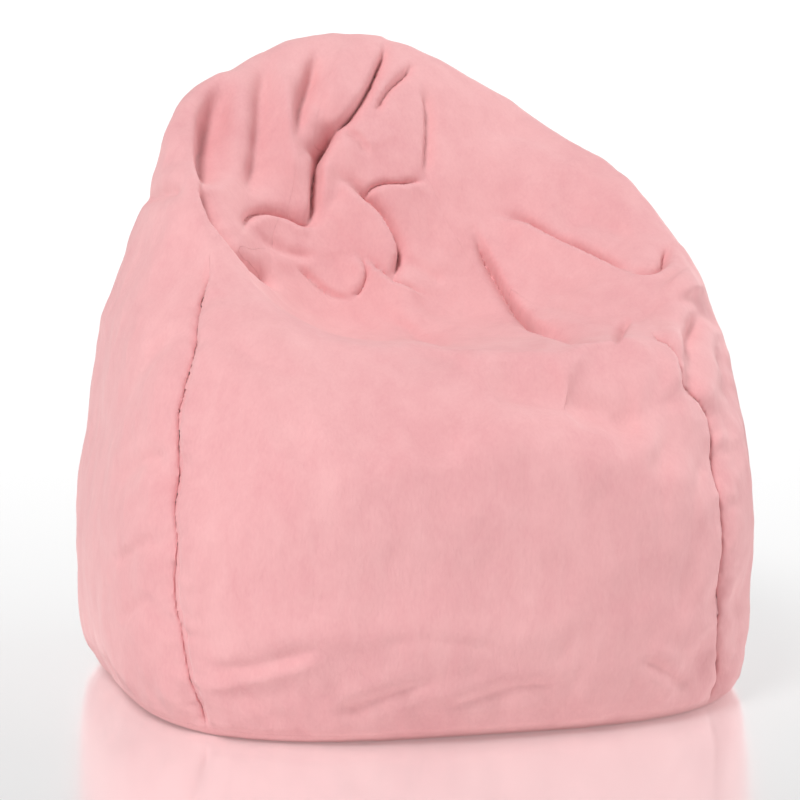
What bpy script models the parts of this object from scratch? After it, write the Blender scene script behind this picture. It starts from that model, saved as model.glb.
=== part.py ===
"""Bean bag chair. A plush cover of three side panels and a base, closed by a coil zip low on the
back, holds an inner liner with a zip of its own, and the liner holds the polystyrene beads.

Metres, +Z up. The seat faces -Y. The origin is on the floor, at the centre of the bag's outline.
"""

import math

import bmesh
import bpy
import numpy as np
from mathutils import Vector

MM = 0.001

# The bag's outer surface is a loft round a vertical axis through the middle of the seat:
# foot on the floor, girth at its widest, crest along its rim, then down into the seat.
SEAT_X, SEAT_Y, SEAT_Z = 0.0, -0.08, 0.425
GIRTH_Z = 0.20
FOOT = (0.385, 0.355, 3.1)  # half width, half depth, squareness
GIRTH = (0.410, 0.392, 2.7)
FOOT_TUCK = 2.8  # how late the wall turns in towards the floor
CREST = (  # x, y, z, fullness of the wall below, steepness of the seat's side
    (0.00, -0.262, 0.440, 2.2, 1.0),
    (0.17, -0.245, 0.437, 2.2, 1.0),
    (0.29, -0.170, 0.447, 2.05, 1.0),
    (0.342, 0.000, 0.535, 1.8, 1.4),
    (0.300, 0.080, 0.600, 1.55, 1.4),
    (0.228, 0.170, 0.660, 1.55, 1.4),
    (0.10, 0.230, 0.738, 2.1, 1.3),
    (-0.06, 0.235, 0.785, 2.2, 1.2),
    (-0.19, 0.205, 0.750, 1.6, 1.4),
    (-0.270, 0.100, 0.680, 1.45, 2.0),
    (-0.285, 0.000, 0.620, 1.45, 2.4),
    (-0.27, -0.130, 0.525, 1.7, 2.3),
    (-0.20, -0.225, 0.462, 2.1, 1.6),
    (-0.10, -0.258, 0.444, 2.2, 1.2),
)
FOOT_ROWS, WALL_ROWS, SEAT_ROWS = 4, 9, 6
AZIMUTHS = 36

# The three side panels meet at the apex, at the top of the back.
APEX = (-0.03, 0.22)
FRONT_LEFT_SEAM = (-0.38, -0.30)
FRONT_RIGHT_SEAM = (0.30, -0.30)
SEAM_GAP = 1.0 * MM

# The zip runs straight up the back seam, where the wall is flat.
ZIP_X, ZIP_Y = APEX[0], 0.371
ZIP_LOW, ZIP_HIGH = 0.070, 0.430
FLAT_HALF, FLAT_FADE = 0.030, 0.070
FLAT_Z = (0.0, 0.05, 0.50, 0.57)
ZIP_COLUMNS = (-0.100, -0.070, -0.045, -0.022, 0.0, 0.022, 0.045, 0.070, 0.100)

# Layers, as depth of the outer face below the bag's surface, away from the zip and behind it.
COVER_THICK = 3.0 * MM
LINER_THICK = 1.2 * MM
LINER_DEPTH, LINER_ZIP_DEPTH = 3.9 * MM, 8.8 * MM
BEADS_DEPTH, BEADS_ZIP_DEPTH = 5.8 * MM, 13.0 * MM
LINER_FLOOR, BEADS_FLOOR = 4.2 * MM, 6.2 * MM
COVER_BASE_INSET, LINER_BASE_INSET = 4.2 * MM, 5.4 * MM

# Depths below the zip's flat, outside to inside. A chain is the two coils, a tape is one side.
COVER_ZIP = {
    "slot_half": 5.6 * MM,
    "plate": (-0.6 * MM, 0.8 * MM),
    "flange": 1.8 * MM,
    "coil": (1.2 * MM, 3.2 * MM),
    "tape": (3.6 * MM, 4.3 * MM),
    "back_plate": (4.7 * MM, 5.8 * MM),
    "neck_half": 0.35 * MM,
    "coil_x": (0.7 * MM, 2.9 * MM),
    "tape_x": (1.2 * MM, 16.0 * MM),
    "slider_half": 4.6 * MM,
    "slider_length": 13.0 * MM,
}
LINER_ZIP = {
    "slot_half": 4.4 * MM,
    "plate": (7.1 * MM, 8.1 * MM),
    "flange": 8.9 * MM,
    "coil": (8.5 * MM, 9.8 * MM),
    "tape": (10.4 * MM, 11.0 * MM),
    "back_plate": (11.4 * MM, 12.3 * MM),
    "neck_half": 0.3 * MM,
    "coil_x": (0.6 * MM, 2.1 * MM),
    "tape_x": (1.0 * MM, 12.0 * MM),
    "slider_half": 3.6 * MM,
    "slider_length": 9.0 * MM,
}
STOP_HEIGHT = 3.0 * MM
STOP_GAP = 0.4 * MM
FLANGE_THICK = 1.2 * MM

# The pull hangs from a bail on the cover's slider.
BAIL_WIDTH = 1.6 * MM
BAIL_HALF, BAIL_HEIGHT = 4.0 * MM, 3.2 * MM
BAIL_HOLE_HALF, BAIL_HOLE_HEIGHT = 1.4 * MM, 2.2 * MM
PULL_THICK = 1.0 * MM
PULL_LENGTH, PULL_HALF = 27.0 * MM, 3.3 * MM
PULL_BAR_HALF = 0.6 * MM
PULL_EYE_END, PULL_EYE_HALF = 4.8 * MM, 1.3 * MM
PULL_GRIP_SLOT = (15.0 * MM, 22.0 * MM, 1.4 * MM)
SLIDER_Z = ZIP_HIGH - STOP_GAP - COVER_ZIP["slider_length"] / 2
LINER_SLIDER_Z = ZIP_HIGH - STOP_GAP - LINER_ZIP["slider_length"] / 2

LABEL_SIZE = (36.0 * MM, 0.6 * MM, 44.0 * MM)
LABEL_TOP, LABEL_GAP = 0.492, 0.6 * MM

COLOURS = {  # sRGB hex, roughness, metallic
    "plush": ("EBACAE", 0.95, 0.0),
    "pink_tape": ("E09CA0", 0.9, 0.0),
    "pink_coil": ("DC9498", 0.45, 0.0),
    "pink_enamel": ("D98E93", 0.35, 0.0),
    "liner": ("F2F0EC", 0.85, 0.0),
    "white_coil": ("EDEBE6", 0.45, 0.0),
    "beads": ("FAFAF8", 0.8, 0.0),
    "label": ("F7F4EF", 0.7, 0.0),
}


def linear(channel):
    """One sRGB channel, 0 to 1, as linear light."""
    return channel / 12.92 if channel <= 0.04045 else ((channel + 0.055) / 1.055) ** 2.4


def material(name):
    """The named Principled material, made on first use."""
    if name in bpy.data.materials:
        return bpy.data.materials[name]
    hex_colour, roughness, metallic = COLOURS[name]
    made = bpy.data.materials.new(name)
    made.use_nodes = True
    shader = made.node_tree.nodes["Principled BSDF"]
    rgb = [linear(int(hex_colour[i : i + 2], 16) / 255) for i in (0, 2, 4)]
    shader.inputs["Base Color"].default_value = (*rgb, 1)
    shader.inputs["Roughness"].default_value = roughness
    shader.inputs["Metallic"].default_value = metallic
    return made


def collection(name):
    made = bpy.data.collections.new(name)
    bpy.context.scene.collection.children.link(made)
    return made


def ease(t):
    """0 to 1 with a soft start and end."""
    t = np.clip(t, 0, 1)
    return t * t * (3 - 2 * t)


def azimuth_of(x, y):
    """Angle round the seat's axis: 0 is the front, a quarter turn is +X."""
    return np.mod(np.arctan2(x - SEAT_X, SEAT_Y - y), 2 * math.pi)


def outline_radius(azimuths, half_width, half_depth, squareness):
    """Radius from the seat's axis of a rounded rectangle centred on the origin."""
    inside, outside = np.zeros_like(azimuths), np.ones_like(azimuths)
    for _ in range(40):
        radius = (inside + outside) / 2
        across = np.abs((SEAT_X + radius * np.sin(azimuths)) / half_width) ** squareness
        along = np.abs((SEAT_Y - radius * np.cos(azimuths)) / half_depth) ** squareness
        outside = np.where(across + along > 1, radius, outside)
        inside = np.where(across + along > 1, inside, radius)
    return inside


def smooth_round(azimuths, at, values):
    """A smooth curve through the values at their azimuths, which closes on itself."""
    order = np.argsort(at)
    at, values = at[order], values[order]
    turn = 2 * math.pi
    at = np.concatenate([[at[-1] - turn], at, [at[0] + turn, at[1] + turn]])
    values = np.concatenate([[values[-1]], values, values[:2]])
    slopes = np.zeros(len(at))
    slopes[1:-1] = (values[2:] - values[:-2]) / (at[2:] - at[:-2])
    azimuths = np.mod(azimuths - at[1], turn) + at[1]
    i = np.clip(np.searchsorted(at, azimuths, side="right") - 1, 1, len(at) - 3)
    width = at[i + 1] - at[i]
    t = (azimuths - at[i]) / width
    start, end = 2 * t**3 - 3 * t**2 + 1, 3 * t**2 - 2 * t**3
    leave, arrive = t**3 - 2 * t**2 + t, t**3 - t**2
    return start * values[i] + end * values[i + 1] + width * (leave * slopes[i] + arrive * slopes[i + 1])


def bag_rows(azimuths):
    """The loft's rows from floor to seat, each an array of points, one per azimuth."""
    crest = np.array(CREST)
    at = azimuth_of(crest[:, 0], crest[:, 1])
    crest_radius = smooth_round(azimuths, at, np.hypot(crest[:, 0] - SEAT_X, crest[:, 1] - SEAT_Y))
    crest_z, fullness, steepness = (smooth_round(azimuths, at, crest[:, i]) for i in (2, 3, 4))
    foot, girth = outline_radius(azimuths, *FOOT), outline_radius(azimuths, *GIRTH)
    rows = []
    for down in np.linspace(1, 0, FOOT_ROWS, endpoint=False):
        rows.append((girth - (girth - foot) * down**FOOT_TUCK, GIRTH_Z * (1 - down) + 0 * azimuths))
    for angle in np.linspace(0, math.pi / 2, WALL_ROWS, endpoint=False):
        across = math.cos(angle) ** (2 / fullness)
        up = math.sin(angle) ** (2 / fullness)
        rows.append((crest_radius + (girth - crest_radius) * across, GIRTH_Z + (crest_z - GIRTH_Z) * up))
    for share in np.linspace(1, 0, SEAT_ROWS, endpoint=False):
        rise = ease(share**steepness)
        rows.append((crest_radius * share, SEAT_Z + (crest_z - SEAT_Z) * rise))
    return [
        flattened(SEAT_X + radius * np.sin(azimuths), SEAT_Y - radius * np.cos(azimuths), z)
        for radius, z in rows
    ]


def flattened(x, y, z):
    """Points pressed in to the zip's flat, near the back seam."""
    near = ease((FLAT_HALF + FLAT_FADE - np.abs(x - ZIP_X)) / FLAT_FADE)
    return np.stack([x, y - near * np.maximum(0, y - ZIP_Y), z], axis=1)


def bag_azimuths():
    """Even steps, but for the columns that follow the zip's flat."""
    strip = [float(azimuth_of(ZIP_X + column, ZIP_Y)) for column in ZIP_COLUMNS]
    step = 2 * math.pi / AZIMUTHS
    even = [i * step for i in range(AZIMUTHS)]
    clear = [a for a in even if not min(strip) - step / 2 < a < max(strip) + step / 2]
    return np.array(sorted(clear + strip))


def bag_surface():
    """The bag's outer surface as a bmesh, open at the floor."""
    azimuths = bag_azimuths()
    mesh = bmesh.new()
    loops = [[mesh.verts.new(point) for point in row] for row in bag_rows(azimuths)]
    around = range(len(azimuths))
    for low, high in zip(loops, loops[1:]):
        for i, j in zip(around, (*around[1:], 0)):
            mesh.faces.new((low[i], low[j], high[j], high[i]))
    middle = mesh.verts.new((SEAT_X, SEAT_Y, SEAT_Z))
    for i, j in zip(around, (*around[1:], 0)):
        mesh.faces.new((loops[-1][i], loops[-1][j], middle))
    bmesh.ops.triangulate(mesh, faces=mesh.faces)
    bmesh.ops.recalc_face_normals(mesh, faces=mesh.faces)
    mesh.normal_update()
    return mesh


def sunk_surface(depth, zip_depth, floor):
    """The bag's surface moved in by depth, by zip_depth behind the zip, and cut off at the floor."""
    mesh = bag_surface()
    moves = {}
    for vert in mesh.verts:
        x, _, z = vert.co
        across = ease((FLAT_HALF + FLAT_FADE - abs(x - ZIP_X)) / FLAT_FADE)
        low, start, end, high = FLAT_Z
        up = min(ease((z - low) / (start - low)), ease((high - z) / (high - end)))
        behind = across * up if vert.co.y > 0 else 0
        here = depth + behind * (zip_depth - depth)
        moves[vert] = -vert.normal * here * vert.calc_shell_factor()
    for vert, move in moves.items():
        vert.co += move
    if floor:
        cut(mesh, (0, 0, floor), (0, 0, -1))
    return mesh


def cut(mesh, point, away):
    """Removes what lies beyond the plane through point, on the side that away points to."""
    everything = mesh.verts[:] + mesh.edges[:] + mesh.faces[:]
    bmesh.ops.bisect_plane(
        mesh, geom=everything, dist=1e-7, plane_co=point, plane_no=away, clear_outer=True
    )


def wedge(mesh, start, end):
    """Keeps the surface between the seam towards start and the seam towards end, anticlockwise."""
    apex = Vector((*APEX, 0))
    for seam, side in ((start, 1), (end, -1)):
        along = (Vector((*seam, 0)) - apex).normalized()
        inwards = Vector((-along.y, along.x, 0)) * side
        cut(mesh, apex + inwards * SEAM_GAP / 2, -inwards)


def add(name, mesh, colour, home):
    """An object with this bmesh, in a collection, with its material."""
    data = bpy.data.meshes.new(name)
    mesh.to_mesh(data)
    mesh.free()
    data.materials.append(material(colour))
    made = bpy.data.objects.new(name, data)
    home.objects.link(made)
    return made


def smooth_shaded(obj, degrees=40):
    obj.data.shade_smooth()
    obj.data.set_sharp_from_angle(angle=math.radians(degrees))


def box(name, low, high, colour, home):
    """A box between two corners."""
    mesh = bmesh.new()
    bmesh.ops.create_cube(mesh, size=1)
    low, high = Vector(low), Vector(high)
    size = high - low
    for vert in mesh.verts:
        vert.co = Vector([vert.co[i] * size[i] for i in range(3)])
    made = add(name, mesh, colour, home)
    made.location = (low + high) / 2
    return made


def boolean(obj, other, operation):
    modifier = obj.modifiers.new(operation.lower(), "BOOLEAN")
    modifier.operation = operation
    modifier.object = other


def cutter(name, low, high):
    made = box(name, low, high, "label", guides)
    made.hide_render = True
    made.display_type = "WIRE"
    return made


def side_panels(prefix, depth, zip_depth, floor, thick, colour, zip_slot):
    """The three side panels of one layer, the left and right ones notched for the zip."""
    back = (APEX[0], 1.0)
    panels = (
        ("front", FRONT_LEFT_SEAM, FRONT_RIGHT_SEAM),
        ("right", FRONT_RIGHT_SEAM, back),
        ("left", back, FRONT_LEFT_SEAM),
    )
    for side, start, end in panels:
        mesh = sunk_surface(depth, zip_depth, floor)
        wedge(mesh, start, end)
        panel = add(f"{prefix}_{side}_panel", mesh, colour, bag)
        shell = panel.modifiers.new("thickness", "SOLIDIFY")
        shell.thickness = thick
        shell.offset = -1
        shell.use_even_offset = True
        if side != "front":
            boolean(panel, zip_slot, "DIFFERENCE")
        smooth_shaded(panel)


def base_panel(name, inset, low, high, colour):
    """The flat floor panel of one layer: a disc of the foot's outline."""
    azimuths = bag_azimuths()
    radius = outline_radius(azimuths, *FOOT) - inset
    mesh = bmesh.new()
    rim = [
        mesh.verts.new((SEAT_X + r * math.sin(a), SEAT_Y - r * math.cos(a), low))
        for a, r in zip(azimuths, radius)
    ]
    disc = mesh.faces.new(rim)
    raised = bmesh.ops.extrude_face_region(mesh, geom=[disc])["geom"]
    for vert in (v for v in raised if isinstance(v, bmesh.types.BMVert)):
        vert.co.z = high
    bmesh.ops.recalc_face_normals(mesh, faces=mesh.faces)
    return add(name, mesh, colour, bag)


def bead_filling():
    """The beads as one body: the liner's inner space."""
    mesh = sunk_surface(BEADS_DEPTH, BEADS_ZIP_DEPTH, BEADS_FLOOR)
    rim = [edge for edge in mesh.edges if edge.is_boundary]
    bmesh.ops.contextual_create(mesh, geom=rim)
    bmesh.ops.recalc_face_normals(mesh, faces=mesh.faces)
    smooth_shaded(add("bead_filling", mesh, "beads", bag))


def slot_cutter(name, zipper, depth, thick):
    """Cuts the opening for a zip through the panels on either side of the back seam."""
    half = zipper["slot_half"]
    clear = 1.0 * MM
    low = (ZIP_X - half, ZIP_Y - depth - thick - clear, ZIP_LOW - STOP_HEIGHT - clear)
    high = (ZIP_X + half, ZIP_Y - depth + clear, ZIP_HIGH + STOP_HEIGHT + clear)
    return cutter(name, low, high)


def zip_sides(prefix, zipper, tape_colour, coil_colour):
    """A tape and a coil on each side of the zip."""
    for side, sign in (("left", -1), ("right", 1)):
        for kind, colour in (("tape", tape_colour), ("coil", coil_colour)):
            near, far = (sign * x for x in zipper[f"{kind}_x"])
            outer, inner = zipper[kind]
            low = (ZIP_X + min(near, far), ZIP_Y - inner, ZIP_LOW)
            high = (ZIP_X + max(near, far), ZIP_Y - outer, ZIP_HIGH)
            box(f"{prefix}_zip_{kind}_{side}", low, high, colour, bag)


def zip_stops(prefix, zipper, colour):
    """A stop across both coils at each end of the zip."""
    half = zipper["coil_x"][1]
    outer, inner = zipper["coil"]
    ends = (("top", ZIP_HIGH + STOP_GAP), ("bottom", ZIP_LOW - STOP_GAP - STOP_HEIGHT))
    for end, z in ends:
        low = (ZIP_X - half, ZIP_Y - inner, z)
        high = (ZIP_X + half, ZIP_Y - outer, z + STOP_HEIGHT)
        box(f"{prefix}_zip_{end}_stop", low, high, colour, bag)


def plate(name, outlines, thick, colour, home):
    """A flat outline, with any holes in it, given thickness along its own Z, as a welded mesh."""
    curve = bpy.data.curves.new(name, "CURVE")
    curve.dimensions = "2D"
    curve.fill_mode = "BOTH"
    curve.extrude = thick / 2
    for points in outlines:
        spline = curve.splines.new("POLY")
        spline.points.add(len(points) - 1)
        for point, (x, y) in zip(spline.points, points):
            point.co = (x, y, 0, 1)
        spline.use_cyclic_u = True
    drawn = bpy.data.objects.new(name, curve)
    home.objects.link(drawn)
    data = bpy.data.meshes.new_from_object(drawn.evaluated_get(bpy.context.evaluated_depsgraph_get()))
    bpy.data.objects.remove(drawn)
    bpy.data.curves.remove(curve)
    mesh = bmesh.new()
    mesh.from_mesh(data)
    bpy.data.meshes.remove(data)
    bmesh.ops.remove_doubles(mesh, verts=mesh.verts, dist=1e-6)
    bmesh.ops.recalc_face_normals(mesh, faces=mesh.faces)
    return add(name, mesh, colour, home)


def slider_section(zipper):
    """The slider seen along the zip: a front plate with flanges, the neck and a back plate."""
    half, neck = zipper["slider_half"], zipper["neck_half"]
    (front, front_in), (back_in, back) = zipper["plate"], zipper["back_plate"]
    rim = half - FLANGE_THICK
    right = [
        (half, -front),
        (half, -zipper["flange"]),
        (rim, -zipper["flange"]),
        (rim, -front_in),
        (neck, -front_in),
        (neck, -back_in),
        (half, -back_in),
        (half, -back),
    ]
    return right + [(-x, y) for x, y in reversed(right)]


def slider(name, zipper, z, colour):
    """A slider body with its origin on the zip's line."""
    made = plate(name, [slider_section(zipper)], zipper["slider_length"], colour, bag)
    made.location = (ZIP_X, ZIP_Y, z)
    return made


def bail(zipper):
    """The bridge on the slider's front plate that the pull hangs from, seen from the side."""
    face = -zipper["plate"][0]
    sunk = face - 0.5 * MM
    top = face + BAIL_HEIGHT
    shoulder = 1.2 * MM
    hole = face + BAIL_HOLE_HEIGHT
    outline = [
        (sunk, -BAIL_HALF),
        (sunk, -BAIL_HOLE_HALF),
        (hole, -BAIL_HOLE_HALF),
        (hole, BAIL_HOLE_HALF),
        (sunk, BAIL_HOLE_HALF),
        (sunk, BAIL_HALF),
        (top - shoulder, BAIL_HALF),
        (top, BAIL_HALF - shoulder),
        (top, -BAIL_HALF + shoulder),
        (top - shoulder, -BAIL_HALF),
    ]
    made = plate("bail", [outline], BAIL_WIDTH, "pink_enamel", guides)
    made.rotation_euler = (math.radians(90), 0, math.radians(90))
    made.location = (ZIP_X, ZIP_Y, SLIDER_Z)
    made.hide_render = True
    made.display_type = "WIRE"
    return made


def pull_tab(zipper):
    """The pull: a tab with an eye for the bail and a slot to grip, hinged at its top bar."""
    eye_low, slot_low = PULL_EYE_END, PULL_GRIP_SLOT[1]
    corner = 1.5 * MM
    outline = [
        (-PULL_HALF, PULL_BAR_HALF),
        (-PULL_HALF, -PULL_LENGTH + corner),
        (-PULL_HALF + corner, -PULL_LENGTH),
        (PULL_HALF - corner, -PULL_LENGTH),
        (PULL_HALF, -PULL_LENGTH + corner),
        (PULL_HALF, PULL_BAR_HALF),
    ]
    eye = rectangle(PULL_EYE_HALF, -PULL_BAR_HALF, -eye_low)
    grip = rectangle(PULL_GRIP_SLOT[2], -PULL_GRIP_SLOT[0], -slot_low)
    made = plate("cover_zip_pull", [outline, eye, grip], PULL_THICK, "pink_enamel", bag)
    made.rotation_euler = (math.radians(90), 0, 0)
    pivot = -zipper["plate"][0] + BAIL_HOLE_HEIGHT / 2
    made.location = (ZIP_X, ZIP_Y + pivot, SLIDER_Z)
    return made


def rectangle(half, top, bottom):
    return [(-half, top), (half, top), (half, bottom), (-half, bottom)]


def cover_slider():
    """The cover's slider with its bail, and the pull that turns in it."""
    body = slider("cover_zip_slider", COVER_ZIP, SLIDER_Z, "pink_enamel")
    boolean(body, bail(COVER_ZIP), "UNION")
    pull_tab(COVER_ZIP)


def care_label():
    """A blank cloth label, hanging from the back seam above the zip."""
    wide, thick, tall = LABEL_SIZE
    low = (ZIP_X - wide / 2, ZIP_Y + LABEL_GAP, LABEL_TOP - tall)
    high = (ZIP_X + wide / 2, ZIP_Y + LABEL_GAP + thick, LABEL_TOP)
    box("cover_care_label", low, high, "label", bag)


for startup in list(bpy.data.objects):
    bpy.data.objects.remove(startup)
bag = collection("bean_bag_chair")
guides = collection("guides")

cover_slot = slot_cutter("cover_zip_slot", COVER_ZIP, 0, COVER_THICK)
side_panels("cover", 0, 0, 0, COVER_THICK, "plush", cover_slot)
base_panel("cover_base_panel", COVER_BASE_INSET, 0, COVER_THICK, "plush")
zip_sides("cover", COVER_ZIP, "pink_tape", "pink_coil")
zip_stops("cover", COVER_ZIP, "pink_coil")
cover_slider()
care_label()

liner_slot = slot_cutter("liner_zip_slot", LINER_ZIP, LINER_ZIP_DEPTH, LINER_THICK)
side_panels("liner", LINER_DEPTH, LINER_ZIP_DEPTH, LINER_FLOOR, LINER_THICK, "liner", liner_slot)
base_panel("liner_base_panel", LINER_BASE_INSET, LINER_FLOOR, LINER_FLOOR + LINER_THICK, "liner")
zip_sides("liner", LINER_ZIP, "liner", "white_coil")
zip_stops("liner", LINER_ZIP, "white_coil")
slider("liner_zip_slider", LINER_ZIP, LINER_SLIDER_Z, "white_coil")

bead_filling()
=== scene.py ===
"""The looks of a plush bean bag chair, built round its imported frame.

The cover is one stuffed shape, swollen by a short cloth simulation and then folded, which is cut
into its sewn panels along the seams. Metres, +Z up, the seat faces -Y.
"""

import math

import bmesh
import bpy
import numpy as np
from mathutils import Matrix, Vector, noise


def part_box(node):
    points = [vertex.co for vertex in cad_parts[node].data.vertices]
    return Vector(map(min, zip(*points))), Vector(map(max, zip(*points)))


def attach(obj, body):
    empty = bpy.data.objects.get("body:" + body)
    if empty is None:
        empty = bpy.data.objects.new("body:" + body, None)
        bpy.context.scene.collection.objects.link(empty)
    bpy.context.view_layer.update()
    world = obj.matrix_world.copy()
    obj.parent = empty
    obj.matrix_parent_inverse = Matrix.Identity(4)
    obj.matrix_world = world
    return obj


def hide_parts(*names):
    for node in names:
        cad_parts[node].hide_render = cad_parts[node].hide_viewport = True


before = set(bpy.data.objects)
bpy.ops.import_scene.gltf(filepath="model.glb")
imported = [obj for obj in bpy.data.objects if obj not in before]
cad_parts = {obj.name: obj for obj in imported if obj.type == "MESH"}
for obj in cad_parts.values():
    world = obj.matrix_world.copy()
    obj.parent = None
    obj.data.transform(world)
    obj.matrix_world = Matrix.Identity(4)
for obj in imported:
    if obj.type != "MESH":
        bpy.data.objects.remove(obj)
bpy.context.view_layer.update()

MM = 0.001

# The bag's outer loft, as the solids have it: foot, girth, crest, then down into the seat.
SEAT_X, SEAT_Y, SEAT_Z = 0.0, -0.08, 0.425
GIRTH_Z = 0.20
FOOT = (0.385, 0.355, 3.1)  # half width, half depth, squareness
GIRTH = (0.410, 0.392, 2.7)
FOOT_TUCK = 2.8
CREST = (  # x, y, z, fullness of the wall below, steepness of the seat's side
    (0.00, -0.262, 0.440, 2.2, 1.0),
    (0.17, -0.245, 0.437, 2.2, 1.0),
    (0.29, -0.170, 0.447, 2.05, 1.0),
    (0.342, 0.000, 0.535, 1.8, 1.4),
    (0.300, 0.080, 0.600, 1.55, 1.4),
    (0.228, 0.170, 0.660, 1.55, 1.4),
    (0.10, 0.230, 0.738, 2.1, 1.3),
    (-0.06, 0.235, 0.785, 2.2, 1.2),
    (-0.19, 0.205, 0.750, 1.6, 1.4),
    (-0.270, 0.100, 0.680, 1.45, 2.0),
    (-0.285, 0.000, 0.620, 1.45, 2.4),
    (-0.27, -0.130, 0.525, 1.7, 2.3),
    (-0.20, -0.225, 0.462, 2.1, 1.6),
    (-0.10, -0.258, 0.444, 2.2, 1.2),
)
FOOT_ROWS, WALL_ROWS, SEAT_ROWS = 14, 60, 40
AZIMUTHS = 240
FLAT_HALF, FLAT_FADE = 0.030, 0.070  # of the flat strip that the zip lies in
FLAT_LOW, FLAT_TOP = 0.045, 0.50
POCKET_BAND = 0.032  # metres in from the crest to where a pocket has its full depth

# The seams, seen from above: three side panels meet at the apex, and a base closes them.
APEX = (-0.03, 0.22)
FRONT_LEFT_SEAM = (-0.38, -0.30)
FRONT_RIGHT_SEAM = (0.30, -0.30)
SEAM_HALF_GAP = 0.05 * MM
SEAM_TURN_IN = 6.0 * MM
SEAM_DRAW = 2.6 * MM
SEAM_GROOVE = 4.5 * MM
SEAM_SOFT_SIDES = 14 * MM, 30 * MM
SEAM_BEND = {  # metres up, and degrees that the stuffed wall carries the seam round there
    "front_left": ((0.0, 3.2), (0.06, 2.4), (0.15, 0.6), (0.25, -0.1), (0.33, -0.8), (0.45, -1.4),
                   (0.49, -3.1), (0.54, -4.0)),
    "front_right": ((0.0, 0.0), (0.16, 0.2), (0.24, 0.5), (0.30, 1.9), (0.35, 3.2), (0.40, 0.0)),
    "back": ((0.0, 0.0), (0.7, 0.0)),
}
BASE_SEAM_Z = 12.0 * MM
FOOT_ROUND = 16.0 * MM
LINER_INSIDE = 8.8 * MM
BEADS_INSIDE = 16.0 * MM
LINING_DETAIL = 0.14
PUCKER_REACH = 34.0 * MM
PUCKER_HEIGHT = 5.5

# The zip, from its own solids.
TAPE_LOW, TAPE_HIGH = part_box("cover_zip_tape_left")
ZIP_X = (TAPE_LOW.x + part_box("cover_zip_tape_right")[1].x) / 2
ZIP_Y = 0.371
ZIP_LOW, ZIP_HIGH = TAPE_LOW.z, TAPE_HIGH.z
SLOT_HALF = 5.2 * MM
SLOT_OVER = 5.0 * MM

COIL_PITCH = 1.5 * MM
COIL_WIRE = 0.3 * MM
COIL_STEPS = 8
STITCH_ASIDE = 9.0 * MM
STITCH_PITCH = 4.0 * MM
STITCH_RADIUS = 0.3 * MM
STITCH_ARCH = (  # share of its length, rise and thickness in radii
    (0, -0.8, 0.5), (0.15, 0.2, 0.9), (0.5, 0.6, 1), (0.85, 0.2, 0.9), (1, -0.8, 0.5),
)

# Where the chair is looked at from: the folds below are laid out as this eye sees them.
EYE_AZIMUTH, EYE_ELEVATION, EYE_DISTANCE = math.radians(-14), math.radians(9), 4.5
AIM = Vector((0, 0, 0.39))
VIEW_WIDTH = 0.992  # metres across the view at the aim
VIEW_SHIFT = (-0.01875, -0.0482)
TOWARDS_EYE = Vector((
    math.sin(EYE_AZIMUTH) * math.cos(EYE_ELEVATION),
    -math.cos(EYE_AZIMUTH) * math.cos(EYE_ELEVATION),
    math.sin(EYE_ELEVATION),
))
EYE = AIM + TOWARDS_EYE * EYE_DISTANCE
EYE_RIGHT = Vector((math.cos(EYE_AZIMUTH), math.sin(EYE_AZIMUTH), 0))
EYE_UP = TOWARDS_EYE.cross(EYE_RIGHT)

FLOOR_HALF = 40.0
CLOTH_VOXEL = 7.0 * MM
CLOTH_FRAMES = 18
CLOTH_CAP = 9.0 * MM
RIPPLES = ((0.16, 5), (0.06, 2.6), (0.025, 1.2))  # size in metres, height in millimetres
FOLD_SHOULDER = 0.28  # how far the cloth beside a fold swells out, as a share of its depth

# Millimetres that the outline leans to the right at each height, on its left and on its right.
OUTLINE = (
    (0, 0, -4), (40, -1, -13), (90, 1, -18), (160, 3, -18), (300, 10, -17), (380, 7, -14),
    (440, 0, -14), (520, 12, -10), (600, 18, -5), (660, 6, 12), (710, 1, 5), (740, 14, 4),
)
CREST_RISE = (  # and that the crest rises, at each place across
    (-320, 6), (-280, 6), (-240, -12), (-190, -16), (-140, -12), (-95, -7), (-50, 0), (-10, 3),
    (30, -3), (70, -8), (120, -5), (300, 0),
)

# Folds in millimetres across and up, as the eye sees them. depth sinks the line itself, width is
# half its breadth, lap raises the cloth on the line's left (or, if negative, on its right) and
# roll carries that raised cloth over the line. reach is how far the lap takes to die away.
def fold(depth, width, *route, **lap):
    """One fold along its route, as fold_move takes it."""
    return dict(route=route, depth=depth, width=width, **lap)


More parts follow.
